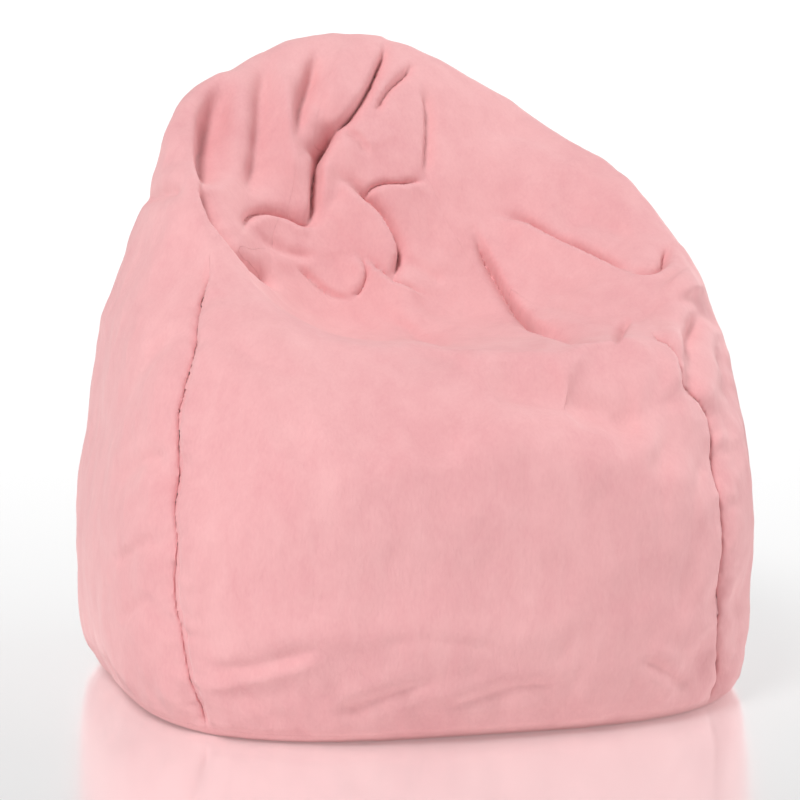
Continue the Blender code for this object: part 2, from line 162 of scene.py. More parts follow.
SEAT_FOLDS = (
    # pleats of the back
    fold(15, 15, (-185, 765), (-191, 705), (-195, 645), (-200, 585)),
    fold(-12, 17, (-165, 765), (-160, 695), (-152, 635), (-145, 585)),
    fold(18, 12, (-122, 775), (-134, 735), (-146, 695), (-150, 650), lap=-6, reach=20),
    fold(-6, 16, (-85, 785), (-95, 735), (-112, 695)),
    # the long fold from the crest into the seat
    fold(22, 9, (-32, 790), (-48, 755), (-64, 722), (-86, 690), (-108, 668), lap=-7, reach=26,
         roll=6),
    fold(20, 14, (-98, 682), (-112, 668), (-124, 652), (-140, 640)),
    fold(26, 10, (-96, 684), (-110, 664), (-124, 640), (-129, 612), (-130, 575), (-134, 550),
         lap=-7, reach=26, roll=5),
    fold(-6, 8, (-92, 676), (-104, 655), (-112, 628), (-112, 598), (-118, 570)),
    fold(7, 5, (-88, 676), (-72, 664), (-62, 652), (-55, 640), lap=5, reach=22),
    # folds beside it
    fold(13, 8, (5, 762), (-14, 745), (-32, 728), (-44, 708), (-50, 690), lap=-4, reach=22,
         roll=3),
    fold(12, 9, (11, 735), (17, 695), (15, 650), (13, 608), lap=-4, reach=30),
    fold(15, 5, (-62, 582), (-52, 598), (-38, 604), (-14, 604), (14, 609), lap=-5, reach=26,
         roll=4),
    # the lobes over the seat
    fold(16, 8, (-212, 548), (-204, 560), (-186, 568), (-160, 562), (-138, 553), (-118, 560),
         lap=-8, reach=30, roll=4),
    fold(22, 9, (-96, 612), (-82, 606), (-66, 590), (-46, 572), (-30, 550), (-20, 528),
         (-24, 505), (-32, 482), lap=-9, reach=36, roll=5),
    fold(9, 3, (-74, 520), (-64, 500), (-66, 482), (-80, 462), lap=-7, reach=14, roll=4),
    fold(6, 3, (-152, 506), (-134, 494), (-116, 478), (-100, 468), (-78, 460), lap=5, reach=20,
         roll=2),
    fold(8, 3, (-66, 518), (-50, 502), (-30, 488), (-6, 476), (16, 464), lap=-7, reach=18, roll=3),
    fold(5, 6, (-190, 540), (-160, 520), (-120, 512)),
    fold(4, 8, (-20, 520), (10, 500), (40, 478)),
    # right of the seat
    fold(20, 7, (72, 548), (88, 520), (103, 490), (122, 458), (146, 434), (180, 420), lap=8,
         reach=38, roll=4),
    fold(17, 7, (100, 566), (132, 560), (160, 546), (190, 531), (220, 518), (248, 504),
         (276, 492), lap=-8, reach=34, roll=3),
    fold(15, 8, (262, 500), (282, 492), (298, 494), (312, 506), (318, 535), lap=-6, reach=26,
         roll=3),
    fold(7, 16, (165, 545), (200, 560), (240, 555), (275, 535)),
    # the lip
    fold(9, 8, (-45, 440), (5, 420), (45, 410), (95, 405), (145, 400), (175, 390), (200, 380)),
    fold(8, 7, (150, 430), (190, 415), (230, 405), (262, 398)),
)
# The pocket behind the left rim, which sets in well inside the crest.
POCKETS = (
    fold(34, 25, (-254, 752), (-253, 705), (-251, 650), (-243, 600)),
)
# Deep tucks, measured along the cloth itself from the line that the eye sees.
TUCKS = (
    fold(30, 17, (-250, 592), (-238, 562), (-220, 538), (-201, 516), (-176, 495)),
)
ARM_FOLDS = (
    fold(10, 6, (268, 438), (256, 422), (250, 402), lap=4, reach=16),
    fold(13, 11, (358, 452), (346, 430), (340, 405), (346, 375), (350, 335)),
    fold(7, 22, (288, 405), (304, 378), (312, 345), (314, 315)),
    fold(6, 8, (370, 405), (380, 370), (385, 335)),
    fold(-14, 26, (318, 486), (330, 474), (338, 460)),
)
WALL_FOLDS = (
    # left of the front seam
    fold(9, 9, (-345, 585), (-310, 595), (-285, 600)),
    fold(6, 15, (-285, 425), (-315, 405), (-350, 360), (-375, 305)),
    fold(6, 13, (-305, 270), (-340, 262), (-375, 235)),
    fold(6, 12, (-310, 165), (-345, 155), (-378, 128)),
    fold(4, 10, (-322, 95), (-345, 82), (-368, 60)),
    # under the lip, where it rolls over the front
    fold(19, 36, (60, 372), (120, 358), (190, 342), (260, 318), (310, 285)),
    fold(4, 16, (-240, 420), (-190, 385), (-120, 360)),
    fold(-4, 60, (-150, 300), (-60, 250), (40, 225)),
    # the slump above the floor
    fold(-5, 34, (-250, 60), (-120, 45), (0, 40), (120, 45), (260, 65)),
    fold(-3, 10, (-280, -25), (-215, -15), (-155, 0), (-105, 20)),
    fold(3, 9, (-270, 0), (-205, 5), (-155, 18), (-110, 35)),
    fold(5, 10, (-105, -60), (-45, -35), (30, -10)),
    fold(4, 9, (30, -50), (110, -25), (190, -15)),
    fold(3, 12, (-60, 30), (20, 40), (110, 25)),
    # right of the front
    fold(4, 16, (360, 305), (355, 240), (340, 140), (330, 60)),
    fold(3, 14, (300, 300), (310, 220), (300, 120)),
    fold(6, 9, (280, 15), (310, 0), (340, -20)),
)


# ---- shape of the bag


def ease(t):
    """0 to 1 with a soft start and end."""
    t = np.clip(t, 0, 1)
    return t * t * (3 - 2 * t)


def azimuth_of(x, y):
    """Angle round the seat's axis: 0 is the front, a quarter turn is +X."""
    return np.mod(np.arctan2(x - SEAT_X, SEAT_Y - y), 2 * math.pi)


def outline_radius(azimuths, half_width, half_depth, squareness):
    """Radius from the seat's axis of a rounded rectangle centred on the origin."""
    inside, outside = np.zeros_like(azimuths), np.ones_like(azimuths)
    for _ in range(40):
        radius = (inside + outside) / 2
        across = np.abs((SEAT_X + radius * np.sin(azimuths)) / half_width) ** squareness
        along = np.abs((SEAT_Y - radius * np.cos(azimuths)) / half_depth) ** squareness
        outside = np.where(across + along > 1, radius, outside)
        inside = np.where(across + along > 1, inside, radius)
    return inside


def smooth_round(azimuths, at, values):
    """A smooth curve through the values at their azimuths, which closes on itself."""
    order = np.argsort(at)
    at, values = at[order], values[order]
    turn = 2 * math.pi
    at = np.concatenate([[at[-1] - turn], at, [at[0] + turn, at[1] + turn]])
    values = np.concatenate([[values[-1]], values, values[:2]])
    slopes = np.zeros(len(at))
    slopes[1:-1] = (values[2:] - values[:-2]) / (at[2:] - at[:-2])
    azimuths = np.mod(azimuths - at[1], turn) + at[1]
    i = np.clip(np.searchsorted(at, azimuths, side="right") - 1, 1, len(at) - 3)
    width = at[i + 1] - at[i]
    t = (azimuths - at[i]) / width
    start, end = 2 * t**3 - 3 * t**2 + 1, 3 * t**2 - 2 * t**3
    leave, arrive = t**3 - 2 * t**2 + t, t**3 - t**2
    bend = width * (leave * slopes[i] + arrive * slopes[i + 1])
    return start * values[i] + end * values[i + 1] + bend


def crest_at(azimuths, column):
    """One value of the crest at each azimuth: radius for column 0, else the crest's own column."""
    crest = np.array(CREST)
    at = azimuth_of(crest[:, 0], crest[:, 1])
    radius = np.hypot(crest[:, 0] - SEAT_X, crest[:, 1] - SEAT_Y)
    return smooth_round(azimuths, at, radius if column == 0 else crest[:, column])


def near_zip(x, y):
    """1 on the flat that carries the zip, fading to 0 beside it."""
    return ease((FLAT_HALF + FLAT_FADE - np.abs(x - ZIP_X)) / FLAT_FADE) * (y > 0.25)


def bag_rows(azimuths):
    """The loft's rows from the floor up the wall and down into the seat."""
    crest_radius, crest_z, fullness, steepness = (crest_at(azimuths, i) for i in (0, 2, 3, 4))
    foot, girth = outline_radius(azimuths, *FOOT), outline_radius(azimuths, *GIRTH)
    rows = [(share * (foot - FOOT_ROUND), 0 * azimuths) for share in (0.25, 0.5, 0.75, 1.0)]
    for down in np.linspace(1, 0, FOOT_ROWS, endpoint=False):
        z = GIRTH_Z * (1 - down)
        tuck = FOOT_ROUND * max(0, 1 - z / FOOT_ROUND) ** 2
        rows.append((girth - (girth - foot) * down**FOOT_TUCK - tuck, z + 0 * azimuths))
    for angle in np.linspace(0, math.pi / 2, WALL_ROWS, endpoint=False):
        across = math.cos(angle) ** (2 / fullness)
        up = math.sin(angle) ** (2 / fullness)
        radius = crest_radius + (girth - crest_radius) * across
        rows.append((radius, GIRTH_Z + (crest_z - GIRTH_Z) * up))
    for share in np.linspace(1, 0, SEAT_ROWS, endpoint=False):
        rise = ease(share**steepness)
        rows.append((crest_radius * share, SEAT_Z + (crest_z - SEAT_Z) * rise))
    return rows


def bag_mesh():
    """The whole bag as one closed mesh object."""
    azimuths = np.linspace(0, 2 * math.pi, AZIMUTHS, endpoint=False)
    mesh = bmesh.new()
    loops = []
    for radius, z in bag_rows(azimuths):
        x, y = SEAT_X + radius * np.sin(azimuths), SEAT_Y - radius * np.cos(azimuths)
        y = y - near_zip(x, y) * np.maximum(0, y - ZIP_Y)
        loops.append([mesh.verts.new(point) for point in zip(x, y, z)])
    for low, high in zip(loops, loops[1:]):
        for i in range(AZIMUTHS):
            j = (i + 1) % AZIMUTHS
            mesh.faces.new((low[i], low[j], high[j], high[i]))
    for loop, z in ((loops[0], 0), (loops[-1], SEAT_Z)):
        middle = mesh.verts.new((SEAT_X, SEAT_Y, z))
        for i in range(AZIMUTHS):
            mesh.faces.new((loop[i], loop[(i + 1) % AZIMUTHS], middle))
    bmesh.ops.recalc_face_normals(mesh, faces=mesh.faces)
    return as_object("bag_shape", mesh)


# ---- mesh helpers


def placed(name, data):
    """An object with this data in it, in the scene."""
    made = bpy.data.objects.new(name, data)
    bpy.context.scene.collection.objects.link(made)
    return made


def as_object(name, mesh):
    """An object with this bmesh in it, which is freed."""
    data = bpy.data.meshes.new(name)
    mesh.to_mesh(data)
    mesh.free()
    return placed(name, data)


def column_of(items, field, width, kind=np.float32):
    """One field of a mesh's items, a row for each."""
    flat = np.empty(len(items) * width, kind)
    items.foreach_get(field, flat)
    return flat.reshape(-1, width)


def points_of(obj):
    return column_of(obj.data.vertices, "co", 3).astype(float)


def normals_of(obj):
    return column_of(obj.data.vertex_normals, "vector", 3).astype(float)


def put_points(obj, points):
    obj.data.vertices.foreach_set("co", points.astype(np.float32).ravel())
    obj.data.update()


def bake_modifiers(obj):
    """Applies every modifier on the object."""
    graph = bpy.context.evaluated_depsgraph_get()
    data = bpy.data.meshes.new_from_object(obj.evaluated_get(graph))
    obj.modifiers.clear()
    old, obj.data = obj.data, data
    bpy.data.meshes.remove(old)


def edges_of(obj):
    return column_of(obj.data.edges, "vertices", 2, np.int32)


def relaxed(points, edges, share, times, hold=None):
    """Points drawn towards the middle of their neighbours. hold, 0 to 1, keeps a point in place."""
    count = np.bincount(edges.ravel(), minlength=len(points))[:, None]
    free = share if hold is None else (share * (1 - hold))[:, None]
    for _ in range(times):
        total = np.zeros_like(points)
        for axis in range(3):
            total[:, axis] = np.bincount(
                edges[:, 0], points[edges[:, 1], axis], minlength=len(points)
            ) + np.bincount(edges[:, 1], points[edges[:, 0], axis], minlength=len(points))
        points = points + free * (total / count - points)
    return points


# ---- cloth and folds


def swell(obj):
    """Lets the cover settle as cloth with a little spare fabric, and caps the move."""
    rest = points_of(obj)
    pins = obj.vertex_groups.new(name="held")
    held = np.maximum(near_zip(rest[:, 0], rest[:, 1]), ease((0.03 - rest[:, 2]) / 0.02))
    for level in range(11):
        chosen = np.flatnonzero(np.round(held * 10) == level)
        if len(chosen):
            pins.add(chosen.tolist(), level / 10, "REPLACE")
    cloth = obj.modifiers.new("cover cloth", "CLOTH")
    settings = cloth.settings
    settings.vertex_group_mass = "held"
    settings.pin_stiffness = 5
    settings.quality = 4
    settings.mass = 0.4
    settings.use_pressure = True
    settings.uniform_pressure_force = 4
    settings.shrink_min = -0.05
    settings.tension_stiffness = settings.compression_stiffness = 20
    settings.bending_stiffness = 0.6
    settings.effector_weights.gravity = 0
    cloth.collision_settings.use_collision = False
    cloth.collision_settings.use_self_collision = False
    scene = bpy.context.scene
    for step in range(1, CLOTH_FRAMES + 1):
        scene.frame_set(step)
    bake_modifiers(obj)
    scene.frame_set(1)
    move = points_of(obj) - rest
    length = np.linalg.norm(move, axis=1, keepdims=True)
    capped = move * np.minimum(1, CLOTH_CAP / np.maximum(length, 1e-9))
    capped = relaxed(capped, edges_of(obj), 0.5, 5)
    put_points(obj, rest + capped * (1 - held[:, None]))


def seen_by_eye(points):
    """Millimetres across and up, where each point appears on the plane through the aim."""
    offset = points - np.array(EYE)
    along = -offset @ np.array(TOWARDS_EYE)
    scale = EYE_DISTANCE / along / MM
    foot = AIM.z * math.cos(EYE_ELEVATION) / MM
    return offset @ np.array(EYE_RIGHT) * scale, offset @ np.array(EYE_UP) * scale + foot


def from_route(across, up, route):
    """Signed distance to the route, plus on its left, the share of its length at the nearest point,
    and the direction of the route there."""
    route = np.array(route, float)
    legs = np.linalg.norm(np.diff(route, axis=0), axis=1)
    starts = np.concatenate([[0], np.cumsum(legs)])
    best = np.full(len(across), np.inf)
    signed, share = np.zeros(len(across)), np.zeros(len(across))
    heading = np.zeros((len(across), 2))
    for (x0, y0), (x1, y1), leg, start in zip(route, route[1:], legs, starts):
        dx, dy = (x1 - x0) / leg, (y1 - y0) / leg
        along = np.clip((across - x0) * dx + (up - y0) * dy, 0, leg)
        off_x, off_y = across - x0 - along * dx, up - y0 - along * dy
        distance = np.hypot(off_x, off_y)
        nearer = distance < best
        side = np.where(dx * off_y - dy * off_x < 0, -1.0, 1.0)
        best = np.where(nearer, distance, best)
        signed = np.where(nearer, side * distance, signed)
        share = np.where(nearer, (start + along) / starts[-1], share)
        heading = np.where(nearer[:, None], (dx, dy), heading)
    return signed, share, heading


def fold_move(across, up, route, depth, width, lap=0, reach=30, roll=0):
    """How far the cloth near one fold stands out, and how far it is carried across and up."""
    signed, share, heading = from_route(across, up, curved(route))
    towards_lap = signed if lap >= 0 else -signed
    breadth = np.full(len(across), float(width))
    if lap:
        breadth = np.where(towards_lap > 0, 0.5 * width, 1.3 * width)
    off = np.abs(signed)
    ends = ease(share / 0.25) * ease((1 - share) / 0.25) * 0.9 + 0.1
    ends *= np.exp(-np.maximum(0, off / width - 4))
    out = -depth * ends / (1 + (off / breadth) ** 2) ** 2
    if lap:
        tapered = ease(share / 0.25) * ease((1 - share) / 0.25)
        beyond = np.maximum(towards_lap, 0)
        brink = 1 - np.exp(-((beyond / (0.6 * width)) ** 2))
        out += abs(lap) * np.exp(-beyond / reach) * brink * tapered
        carried = roll * tapered * np.exp(-((beyond / (1.6 * width)) ** 2))
        carried = carried * (towards_lap > -0.4 * width)
        side = 1 if lap > 0 else -1
        return out, carried * side * heading[:, 1], -carried * side * heading[:, 0]
    shoulders = np.exp(-(((off - 2.1 * width) / (1.1 * width)) ** 2))
    out += FOLD_SHOULDER * depth * shoulders * ends
    return out, 0, 0


def curved(route, steps=4):
    """The route as a smooth line through its points."""
    route = [np.array(point, float) for point in route]
    if len(route) < 3:
        return route
    ends = [2 * route[0] - route[1], *route, 2 * route[-1] - route[-2]]
    line = []
    for a, b, c, d in zip(ends, ends[1:], ends[2:], ends[3:]):
        for t in np.linspace(0, 1, steps, endpoint=False):
            line.append(0.5 * (2 * b + (c - a) * t + (2 * a - 5 * b + 4 * c - d) * t**2
                               + (3 * b - a - 3 * c + d) * t**3))
    return [*line, route[-1]]


def inside_crest(points, band=0.02, start=0.5):
    """1 in the seat's hollow, 0 on the outer wall, over a narrow band at the crest."""
    radius = np.hypot(points[:, 0] - SEAT_X, points[:, 1] - SEAT_Y)
    crest = crest_at(azimuth_of(points[:, 0], points[:, 1]), 0)
    return ease((crest - radius) / band + start) * (points[:, 2] > GIRTH_Z)


def noise_at(points, size, seed):
    """Smooth noise from about -1 to 1, with lumps of about this size."""
    shift = Vector((seed * 7.3, seed * 3.1, seed * 5.7))
    return np.array([noise.noise(Vector(point) / size + shift) for point in points.tolist()])


def nudged(obj):
    """Leans the outline as the stuffing has settled: in on one side, fuller on the other."""
    points = points_of(obj)
    across, up = seen_by_eye(points)
    heights, lefts, rights = np.array(OUTLINE).T
    aside = ease((-across - 60) / 260) * np.interp(up, heights, lefts)
    aside += ease((across - 60) / 260) * np.interp(up, heights, rights)
    below = ease((FLAT_TOP + 0.06 - points[:, 2]) / 0.05)
    aside *= 1 - near_zip(points[:, 0], points[:, 1]) * below
    spots, rises = np.array(CREST_RISE).T
    rise = np.interp(across, spots, rises) * ease((up - 480) / 180)
    points += (aside * MM)[:, None] * np.array(EYE_RIGHT)
    points[:, 2] += rise * MM
    put_points(obj, points)


def seen_points(route, points, across, up, showing):
    """The places on the cloth where the eye sees the route, among the points that show."""
    depth = (points - np.array(EYE)) @ np.array(TOWARDS_EYE)
    found = []
    for x, y in curved(route, 6):
        near = np.flatnonzero((np.hypot(across - x, up - y) < 5) & showing)
        if len(near):
            found.append(points[near[np.argmax(depth[near])]])
    return np.array(found)


def tuck_height(points, line, depth, width):
    """How far the cloth stands out near a line that lies on it."""
    away = np.full(len(points), np.inf)
    for a, b in zip(line, line[1:]):
        leg = b - a
        along = np.clip((points - a) @ leg / max(leg @ leg, 1e-12), 0, 1)
        away = np.minimum(away, np.linalg.norm(points - a - along[:, None] * leg, axis=1))
    return -depth / (1 + (away / (width * MM)) ** 2) ** 2


def lowest_near(height, edges, times):
    """The lowest height within this many edges of each point."""
    for _ in range(times):
        low = height.copy()
        np.minimum.at(low, edges[:, 0], height[edges[:, 1]])
        np.minimum.at(low, edges[:, 1], height[edges[:, 0]])
        height = low
    return height


def creased(obj):
    """Presses the folds into the cover, with the slack ripples of its cloth. Gives the points of
    the lining that lies under them."""
    points, normals, edges = points_of(obj), normals_of(obj), edges_of(obj)
    across, up = seen_by_eye(points)
    towards = normals @ np.array(TOWARDS_EYE)
    facing = {"seat": ease((towards + 0.25) / 0.3), "wall": ease((towards + 0.05) / 0.25)}
    inside = inside_crest(points)
    height, right, rise = (np.zeros(len(points)) for _ in range(3))
    well_inside = inside_crest(points, POCKET_BAND, 0)
    places = (
        (SEAT_FOLDS, facing["seat"] * inside), (POCKETS, facing["seat"] * well_inside),
        (ARM_FOLDS, facing["wall"]), (WALL_FOLDS, facing["wall"] * (1 - inside)),
    )
    for folds, where in places:
        for fold in folds:
            out, aside, upwards = fold_move(across, up, **fold)
            height += out * where
            right += aside * where
            rise += upwards * where
    for tuck in TUCKS:
        line = seen_points(tuck["route"], points, across, up, (towards > 0) & (inside > 0.9))
        height += tuck_height(points, line, tuck["depth"], tuck["width"]) * well_inside
    height += seam_height(points, normals, inside)
    for seed, (size, tall) in enumerate(RIPPLES, 1):
        height += tall * noise_at(points, size, seed)
    free = 1 - near_zip(points[:, 0], points[:, 1]) * (points[:, 2] < FLAT_TOP + 0.02)
    free *= ease(points[:, 2] / 0.02)
    moved = points + normals * (height * free * MM)[:, None]
    moved += (right * free * MM)[:, None] * np.array(EYE_RIGHT)
    moved += (rise * free * MM)[:, None] * np.array(EYE_UP)
    moved = relaxed(moved, edges, 0.5, 2)
    moved[:, 2] = np.maximum(moved[:, 2], 0)
    flat = (near_zip(points[:, 0], points[:, 1]) > 0.98) & (points[:, 2] < FLAT_TOP)
    flat &= points[:, 2] > FLAT_LOW
    moved[flat, 1] = ZIP_Y
    put_points(obj, moved)
    under = lowest_near(height * free, edges, 6) * MM - LINER_INSIDE * (1 + 0.6 * inside)
    lining = relaxed(points + normals * under[:, None], edges, 0.5, 4)
    lining[:, 2] = np.maximum(lining[:, 2], 0.8 * LINER_INSIDE)
    return lining


# ---- seams


def seam_planes():
    """Each seam as (point, direction along it seen from above, name)."""
    apex = Vector((*APEX, 0))
    ends = {"front_left": FRONT_LEFT_SEAM, "front_right": FRONT_RIGHT_SEAM, "back": (APEX[0], 1.0)}
    return {name: (apex, (Vector((*end, 0)) - apex).normalized()) for name, end in ends.items()}


def straightened(points, name, back=False):
    """Points turned about the apex so that a bent seam lies in its plane, or turned back again."""
    heights, bends = np.array(SEAM_BEND[name]).T
    turn = np.interp(points[:, 2], heights, bends)
    wander = 0.35 * np.sin(points[:, 2] / 0.021) * np.sin(points[:, 2] / 0.057 + 1)
    turn = turn + wander * (name != "back")
    turn = np.radians(turn if back else -turn)
    x, y = points[:, 0] - APEX[0], points[:, 1] - APEX[1]
    turned = points.copy()
    turned[:, 0] = APEX[0] + x * np.cos(turn) - y * np.sin(turn)
    turned[:, 1] = APEX[1] + x * np.sin(turn) + y * np.cos(turn)
    return turned


def from_seam(points, name):
    """Distance beside a seam, and distance out along it from the apex."""
    apex, along = seam_planes()[name]
    beside = np.array((-along.y, along.x))
    flat = straightened(points, name)[:, :2] - np.array(apex)[:2]
    return flat @ beside, flat @ np.array(along)[:2]


def seam_height(points, normals, inside):
    """Sinks the cover along its seams and puckers the cloth beside them."""
    height = np.zeros(len(points))
    for index, name in enumerate(seam_planes()):
        beside, out = from_seam(points, name)
        on_it = ease((out - 0.004) / 0.02) * (1 - 0.92 * inside)
        soft_side = np.where(beside > 0, *SEAM_SOFT_SIDES)
        groove = np.exp(-((beside / SEAM_GROOVE) ** 2)) * 5
        groove += np.exp(-((beside / soft_side) ** 2)) * 6
        ripple = np.array([
            noise.noise(Vector((z / 0.013, 3.7 * index + (9 if b > 0 else 0), abs(b) / 0.03)))
            for z, b in zip(points[:, 2].tolist(), beside.tolist())
        ])
        spread = np.where(beside > 0, PUCKER_REACH, 0.45 * PUCKER_REACH)
        reach = np.exp(-np.abs(beside) / spread) * (1 - np.exp(-np.abs(beside) / (3 * MM)))
        height += (-groove + PUCKER_HEIGHT * ripple * reach) * on_it
    base = np.exp(-(((points[:, 2] - BASE_SEAM_Z) / (4 * MM)) ** 2)) * 2.5 * (normals[:, 2] < 0.5)
    return height - base


def cut(mesh, point, away, clear=True):
    """Cuts along a plane and, if clear, removes what lies on the side that away points to."""
    everything = mesh.verts[:] + mesh.edges[:] + mesh.faces[:]
    bmesh.ops.bisect_plane(
        mesh, geom=everything, dist=1e-6, plane_co=point, plane_no=away, clear_outer=clear
    )


def drawn_tight(mesh):
    """Pulls the sewn edges in where the stuffed wall strains against its seams."""
    mesh.normal_update()
    edge_verts = {vert for edge in mesh.edges if edge.is_boundary for vert in edge.verts}
    places = np.array([vert.co for vert in edge_verts])
    slack = (1 - inside_crest(places)) * ease((places[:, 2] - BASE_SEAM_Z) / 0.02)
    slack *= 1 - near_zip(places[:, 0], places[:, 1]) * (places[:, 2] < FLAT_TOP)
    for vert, share in zip(edge_verts, slack.tolist()):
        vert.co -= vert.normal * share * SEAM_DRAW


def turn_in_edges(mesh, depth):
    """Folds a seam allowance inwards from every open edge."""
    mesh.normal_update()
    edges = [edge for edge in mesh.edges if edge.is_boundary]
    inwards = {vert: -vert.normal * depth for edge in edges for vert in edge.verts}
    made = bmesh.ops.extrude_edge_only(mesh, edges=edges)["geom"]
    before = {tuple(vert.co): move for vert, move in inwards.items()}
    for vert in (v for v in made if isinstance(v, bmesh.types.BMVert)):
        vert.co += before.get(tuple(vert.co), Vector())


def cut_zip_slot(mesh):
    """Opens the back seam where the zip's chain shows."""
    low, high = ZIP_LOW - SLOT_OVER, ZIP_HIGH + SLOT_OVER
    for x in (ZIP_X - SLOT_HALF, ZIP_X + SLOT_HALF):
        cut(mesh, (x, 0, 0), (1, 0, 0), clear=False)
    for z in (low, high):
        cut(mesh, (0, 0, z), (0, 0, 1), clear=False)
    inside = [
        face for face in mesh.faces
        if abs(face.calc_center_median().x - ZIP_X) < SLOT_HALF
        and low < face.calc_center_median().z < high
        and face.calc_center_median().y > 0.2
    ]
    bmesh.ops.delete(mesh, geom=inside, context="FACES")


def bent_cut(mesh, name, side):
    """Cuts along one bent seam and keeps the cloth on the side given, seen from above."""
    apex, along = seam_planes()[name]
    inwards = Vector((-along.y, along.x, 0)) * side
    for back in (False, True):
        points = straightened(np.array([vert.co for vert in mesh.verts]), name, back)
        for vert, point in zip(mesh.verts, points.tolist()):
            vert.co = point
        if not back:
            cut(mesh, apex + inwards * SEAM_HALF_GAP, -inwards)


def side_panel(name, whole, start, end):
    """One side panel cut from the whole bag, with its seam edges turned in."""
    mesh = bmesh.new()
    mesh.from_mesh(whole.data)
    bent_cut(mesh, start, 1)
    bent_cut(mesh, end, -1)
    cut(mesh, (0, 0, BASE_SEAM_Z + SEAM_HALF_GAP), (0, 0, -1))
    drawn_tight(mesh)
    if "back" in (start, end):
        cut_zip_slot(mesh)
    turn_in_edges(mesh, SEAM_TURN_IN)
    return as_object(name, mesh)


def base_panel(name, whole):
    """The floor panel, up to its seam just above the floor."""
    mesh = bmesh.new()
    mesh.from_mesh(whole.data)
    cut(mesh, (0, 0, BASE_SEAM_Z - SEAM_HALF_GAP), (0, 0, 1))
    turn_in_edges(mesh, SEAM_TURN_IN)
    return as_object(name, mesh)


PANELS = (
    ("front", "front_left", "front_right"),
    ("right", "front_right", "back"),
    ("left", "back", "front_left"),
)


def sewn_bag():
    """The whole cover before it is cut into panels, and the lining under it."""
    whole = bag_mesh()
    remesh = whole.modifiers.new("even cloth grid", "REMESH")
    remesh.mode = "VOXEL"
    remesh.voxel_size = CLOTH_VOXEL
    bake_modifiers(whole)
    swell(whole)
    nudged(whole)
    finer = whole.modifiers.new("finer", "SUBSURF")
    finer.levels = finer.render_levels = 1
    bake_modifiers(whole)
    lining = placed("lining_shape", whole.data.copy())
    put_points(lining, creased(whole))
    lightened(lining, LINING_DETAIL)
    return whole, lining


def lightened(obj, share):
    """Keeps this share of the mesh's faces, where its shape needs them most."""
    lighter = obj.modifiers.new("lighter", "DECIMATE")
    lighter.ratio = share
    bake_modifiers(obj)


def smooth_shaded(obj, degrees=60):
    obj.data.shade_smooth()
    obj.data.set_sharp_from_angle(angle=math.radians(degrees))


# ---- materials


def colour(code):
    """An sRGB hex colour as linear light."""
    channels = [int(code[i : i + 2], 16) / 255 for i in (0, 2, 4)]
    return (*[c / 12.92 if c <= 0.04045 else ((c + 0.055) / 1.055) ** 2.4 for c in channels], 1)


def add(tree, kind, links=(), **settings):
    """A node of this kind. A setting named with a leading capital is an input's value."""
    made = tree.nodes.new(kind)
    for name, value in settings.items():
        if name[0].isupper():
            made.inputs[name.replace("_", " ")].default_value = value
        else:
            setattr(made, name, value)
    for source, target in links:
        tree.links.new(source, made.inputs[target])
    return made


def new_material(name, base, roughness, **inputs):
    """A Principled material and its tree and shader."""
    made = bpy.data.materials.new(name)
    made.use_nodes = True
    shader = made.node_tree.nodes["Principled BSDF"]
    shader.inputs["Base Color"].default_value = colour(base)
    shader.inputs["Roughness"].default_value = roughness
    for key, value in inputs.items():
        shader.inputs[key.replace("_", " ")].default_value = value
    return made, made.node_tree, shader


def wired(tree, shader, **sources):
    """Feeds each of the shader's named inputs from an output."""
    for name, source in sources.items():
        tree.links.new(source, shader.inputs[name.replace("_", " ")])


def blended(tree, factor, first, second, share=0.5):
    """A colour that goes from first to second with the factor, or by a fixed share."""
    mixed = add(tree, "ShaderNodeMix", data_type="RGBA", Factor=share)
    if factor:
        tree.links.new(factor, mixed.inputs["Factor"])
    for socket, value in (("A", first), ("B", second)):
        target = [i for i in mixed.inputs if i.name == socket and i.type == "RGBA"][0]
        if isinstance(value, str):
            target.default_value = colour(value)
        else:
            tree.links.new(value, target)
    return [o for o in mixed.outputs if o.type == "RGBA"][0]


